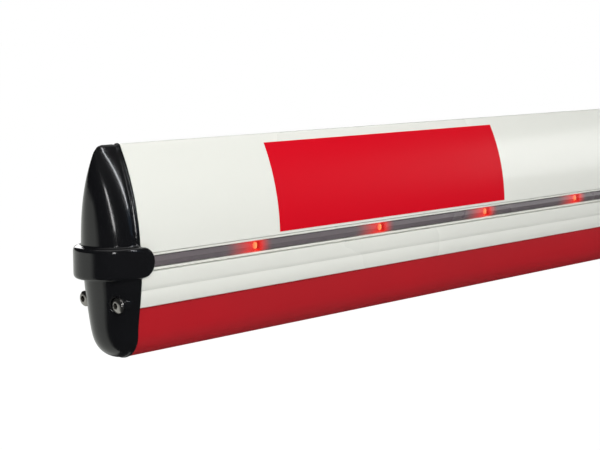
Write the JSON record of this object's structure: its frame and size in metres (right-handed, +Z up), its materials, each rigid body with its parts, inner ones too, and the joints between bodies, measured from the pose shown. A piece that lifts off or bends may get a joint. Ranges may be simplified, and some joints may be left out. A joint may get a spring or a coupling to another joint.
{
  "type": "parking barrier gate",
  "caption": "Parking barrier gate: cabinet with drive, door and hood, and a hinged white boom with red marking films, lamp grooves, rubber bumper and moulded end cap.",
  "frame": {"origin": "centre of the underside of the cabinet's base plate, on the floor", "axes": "+Z up; the lowered boom points to -X; the boom lies in front of the cabinet's -Y side, and the door is on the +Y side"},
  "size_m": [2.7075, 0.4179, 0.988],
  "materials": {
    "boom_white": "gloss white powder coat on an extruded profile",
    "bumper_red": "satin extruded rubber",
    "cap_black": "gloss moulded plastic",
    "stainless": "turned and polished stainless steel",
    "tube_smoke": "smoked clear extrusion",
    "lamp_red": "lit lamp",
    "film_red": "retroreflective film",
    "clamp_cast": "dark powder coat on cast aluminium",
    "zinc_steel": "bright zinc plate",
    "shaft_steel": "ground steel, lightly oiled",
    "frame_paint": "satin grey-blue machine paint",
    "arm_paint": "satin blue machine paint",
    "link_steel": "yellow passivated steel",
    "cam_plastic": "moulded plastic",
    "gear_cast": "cast aluminium",
    "motor_cast": "painted casting with ribs",
    "black_plastic": "moulded plastic, fine texture",
    "spring_steel": "oiled spring wire",
    "black_rubber": "soft rubber",
    "cabinet_paint": "light grey powder coat, fine texture",
    "hood_paint": "anthracite powder coat, fine texture",
    "zinc_sheet": "galvanised sheet",
    "box_grey": "moulded plastic",
    "board_green": "glass fibre board with solder mask",
    "terminal_green": "moulded plastic"
  },
  "bodies": {
    "cabinet": {"bearing_barrel": "frame_paint", "bearings": "shaft_steel", "barrel_screws": "zinc_steel", "shaft_seal": "black_rubber", "drive_plate": "frame_paint", "drive_plate_screws": "zinc_steel", "gearbox_case": "gear_cast", "gearbox_screws": "zinc_steel", "motor_body": "motor_cast", "fan_cover": "black_plastic", "motor_terminal_box": "black_plastic", "balance_spring": "spring_steel", "spring_foot_bracket": "frame_paint", "spring_foot_bolt": "zinc_steel", "stop_bars": "frame_paint", "stop_buffers": "black_rubber", "switch_bracket": "zinc_sheet", "limit_switches": "black_plastic", "base_plate": "frame_paint", "corner_posts": "zinc_sheet", "boom_side_panel": "cabinet_paint", "left_panel": "cabinet_paint", "right_panel": "cabinet_paint", "hood": "hood_paint", "hood_screws": "zinc_steel", "control_plate": "zinc_sheet", "control_box": "box_grey", "control_cover": "box_grey", "circuit_board": "board_green", "terminal_blocks": "terminal_green", "hinge_leaves": "zinc_steel", "hinge_pins": "zinc_steel", "lock_strike": "zinc_steel"},
    "boom": {"boom_profile": "boom_white", "boom_root_plug": "black_plastic", "bumper_rubber": "bumper_red", "end_cap": "cap_black", "end_cap_screws": "stainless", "light_tube": "tube_smoke", "lamp_strips": "black_plastic", "lamps": "lamp_red", "marking_films": "film_red", "clamp_shell_rear": "clamp_cast", "clamp_shell_front": "clamp_cast", "clamp_bolts": "zinc_steel", "clamp_nuts": "zinc_steel", "arm_hub": "frame_paint", "arm_hub_screws": "zinc_steel", "output_shaft": "shaft_steel", "shaft_key": "shaft_steel", "lever": "arm_paint", "lever_pins": "shaft_steel", "limit_cams": "cam_plastic"},
    "crank": {"crank": "arm_paint", "crank_pin": "shaft_steel"},
    "link": {"link_rod": "link_steel"},
    "door": {"door": "cabinet_paint", "door_seal": "black_rubber", "door_hinge_leaves": "zinc_steel"},
    "lock": {"door_lock": "zinc_steel"}
  },
  "joints": [
    {"name": "boom_swing", "type": "hinge", "parent": "cabinet", "child": "boom", "pos_m": [0, -0.15, 0.82], "axis": [0, 1, 0], "range_deg": [0, 90], "deforming": ["balance_spring"]},
    {"name": "crank_turn", "type": "hinge", "parent": "cabinet", "child": "crank", "pos_m": [0, -0.005, 0.57], "axis": [0, 1, 0], "range_deg": [0, 90]},
    {"name": "link_turn", "type": "hinge", "parent": "crank", "child": "link", "pos_m": [0.0495, 0.0095, 0.6195], "axis": [0, 1, 0], "range_deg": [-90, 0]},
    {"name": "door_swing", "type": "hinge", "parent": "cabinet", "child": "door", "pos_m": [-0.178, 0.14, 0.48], "axis": [0, 0, 1], "range_deg": [0, 110]},
    {"name": "lock_turn", "type": "hinge", "parent": "door", "child": "lock", "pos_m": [0.1165, 0.15, 0.48], "axis": [0, -1, 0], "range_deg": [0, 90]}
  ],
  "couplings": [
    {"joint": "crank_turn", "follows": "boom_swing", "ratio": 1},
    {"joint": "link_turn", "follows": "boom_swing", "ratio": -1}
  ]
}
